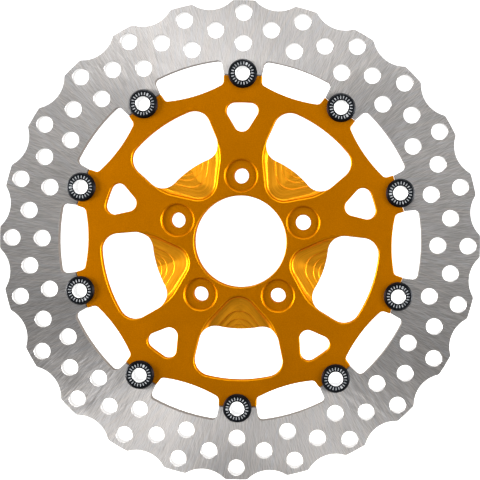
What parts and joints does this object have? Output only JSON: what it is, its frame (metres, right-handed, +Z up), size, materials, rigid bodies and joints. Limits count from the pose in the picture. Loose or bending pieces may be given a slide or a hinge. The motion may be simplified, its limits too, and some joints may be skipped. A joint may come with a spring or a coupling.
{
  "type": "brake disc rotor",
  "caption": "Floating motorcycle brake disc: waved, drilled steel friction ring held on a gold machined carrier by drive buttons with spring washers and circlips.",
  "frame": {"origin": "on the disc's axis, in the plane of the face that bolts to the wheel hub", "axes": "+Y along the disc's axis, from the outer face in towards the wheel; +Z up, through a hub bolt and a drive button; +X to the right as seen from the outer face"},
  "size_m": [0.3, 0.0109, 0.3],
  "materials": {
    "ground_stainless": "ground on both faces, crossing radial scratches, drilled and deburred",
    "gold_anodised": "bead blasted and gold anodised, with bright milled scoops and edge breaks",
    "black_anodised": "turned and black anodised, printed with plain white bars",
    "spring_steel": "oil-blackened spring steel",
    "plated_washer": "bright zinc plate"
  },
  "bodies": {
    "carrier": {"carrier": "gold_anodised"},
    "brake_ring": {"brake_ring": "ground_stainless"},
    "drive_button_01": {"button_01": "black_anodised", "wave_washer_01": "spring_steel", "flat_washer_01": "plated_washer", "retaining_ring_01": "spring_steel"},
    "drive_button_02": {"button_02": "black_anodised", "wave_washer_02": "spring_steel", "flat_washer_02": "plated_washer", "retaining_ring_02": "spring_steel"},
    "drive_button_03": {"button_03": "black_anodised", "wave_washer_03": "spring_steel", "flat_washer_03": "plated_washer", "retaining_ring_03": "spring_steel"},
    "drive_button_04": {"button_04": "black_anodised", "wave_washer_04": "spring_steel", "flat_washer_04": "plated_washer", "retaining_ring_04": "spring_steel"},
    "drive_button_05": {"button_05": "black_anodised", "wave_washer_05": "spring_steel", "flat_washer_05": "plated_washer", "retaining_ring_05": "spring_steel"},
    "drive_button_06": {"button_06": "black_anodised", "wave_washer_06": "spring_steel", "flat_washer_06": "plated_washer", "retaining_ring_06": "spring_steel"},
    "drive_button_07": {"button_07": "black_anodised", "wave_washer_07": "spring_steel", "flat_washer_07": "plated_washer", "retaining_ring_07": "spring_steel"},
    "drive_button_08": {"button_08": "black_anodised", "wave_washer_08": "spring_steel", "flat_washer_08": "plated_washer", "retaining_ring_08": "spring_steel"},
    "drive_button_09": {"button_09": "black_anodised", "wave_washer_09": "spring_steel", "flat_washer_09": "plated_washer", "retaining_ring_09": "spring_steel"},
    "drive_button_10": {"button_10": "black_anodised", "wave_washer_10": "spring_steel", "flat_washer_10": "plated_washer", "retaining_ring_10": "spring_steel"}
  },
  "joints": [
    {"name": "ring_float", "type": "slide", "parent": "carrier", "child": "brake_ring", "axis": [0, 1, 0], "range_m": [0, 0.0004], "stiffness_N_per_m": 20000, "springref_m": -0.0002, "deforming": ["wave_washer_01", "wave_washer_02", "wave_washer_03", "wave_washer_04", "wave_washer_05", "wave_washer_06", "wave_washer_07", "wave_washer_08", "wave_washer_09", "wave_washer_10"]},
    {"name": "button_turn_01", "type": "hinge", "parent": "carrier", "child": "drive_button_01", "pos_m": [0, -0.0065, 0.1046], "axis": [0, 1, 0], "continuous": true},
    {"name": "button_turn_02", "type": "hinge", "parent": "carrier", "child": "drive_button_02", "pos_m": [0.06148, -0.0065, 0.08462], "axis": [0, 1, 0], "continuous": true},
    {"name": "button_turn_03", "type": "hinge", "parent": "carrier", "child": "drive_button_03", "pos_m": [0.09948, -0.0065, 0.03232], "axis": [0, 1, 0], "continuous": true},
    {"name": "button_turn_04", "type": "hinge", "parent": "carrier", "child": "drive_button_04", "pos_m": [0.09948, -0.0065, -0.03232], "axis": [0, 1, 0], "continuous": true},
    {"name": "button_turn_05", "type": "hinge", "parent": "carrier", "child": "drive_button_05", "pos_m": [0.06148, -0.0065, -0.08462], "axis": [0, 1, 0], "continuous": true},
    {"name": "button_turn_06", "type": "hinge", "parent": "carrier", "child": "drive_button_06", "pos_m": [0, -0.0065, -0.1046], "axis": [0, 1, 0], "continuous": true},
    {"name": "button_turn_07", "type": "hinge", "parent": "carrier", "child": "drive_button_07", "pos_m": [-0.06148, -0.0065, -0.08462], "axis": [0, 1, 0], "continuous": true},
    {"name": "button_turn_08", "type": "hinge", "parent": "carrier", "child": "drive_button_08", "pos_m": [-0.09948, -0.0065, -0.03232], "axis": [0, 1, 0], "continuous": true},
    {"name": "button_turn_09", "type": "hinge", "parent": "carrier", "child": "drive_button_09", "pos_m": [-0.09948, -0.0065, 0.03232], "axis": [0, 1, 0], "continuous": true},
    {"name": "button_turn_10", "type": "hinge", "parent": "carrier", "child": "drive_button_10", "pos_m": [-0.06148, -0.0065, 0.08462], "axis": [0, 1, 0], "continuous": true}
  ]
}
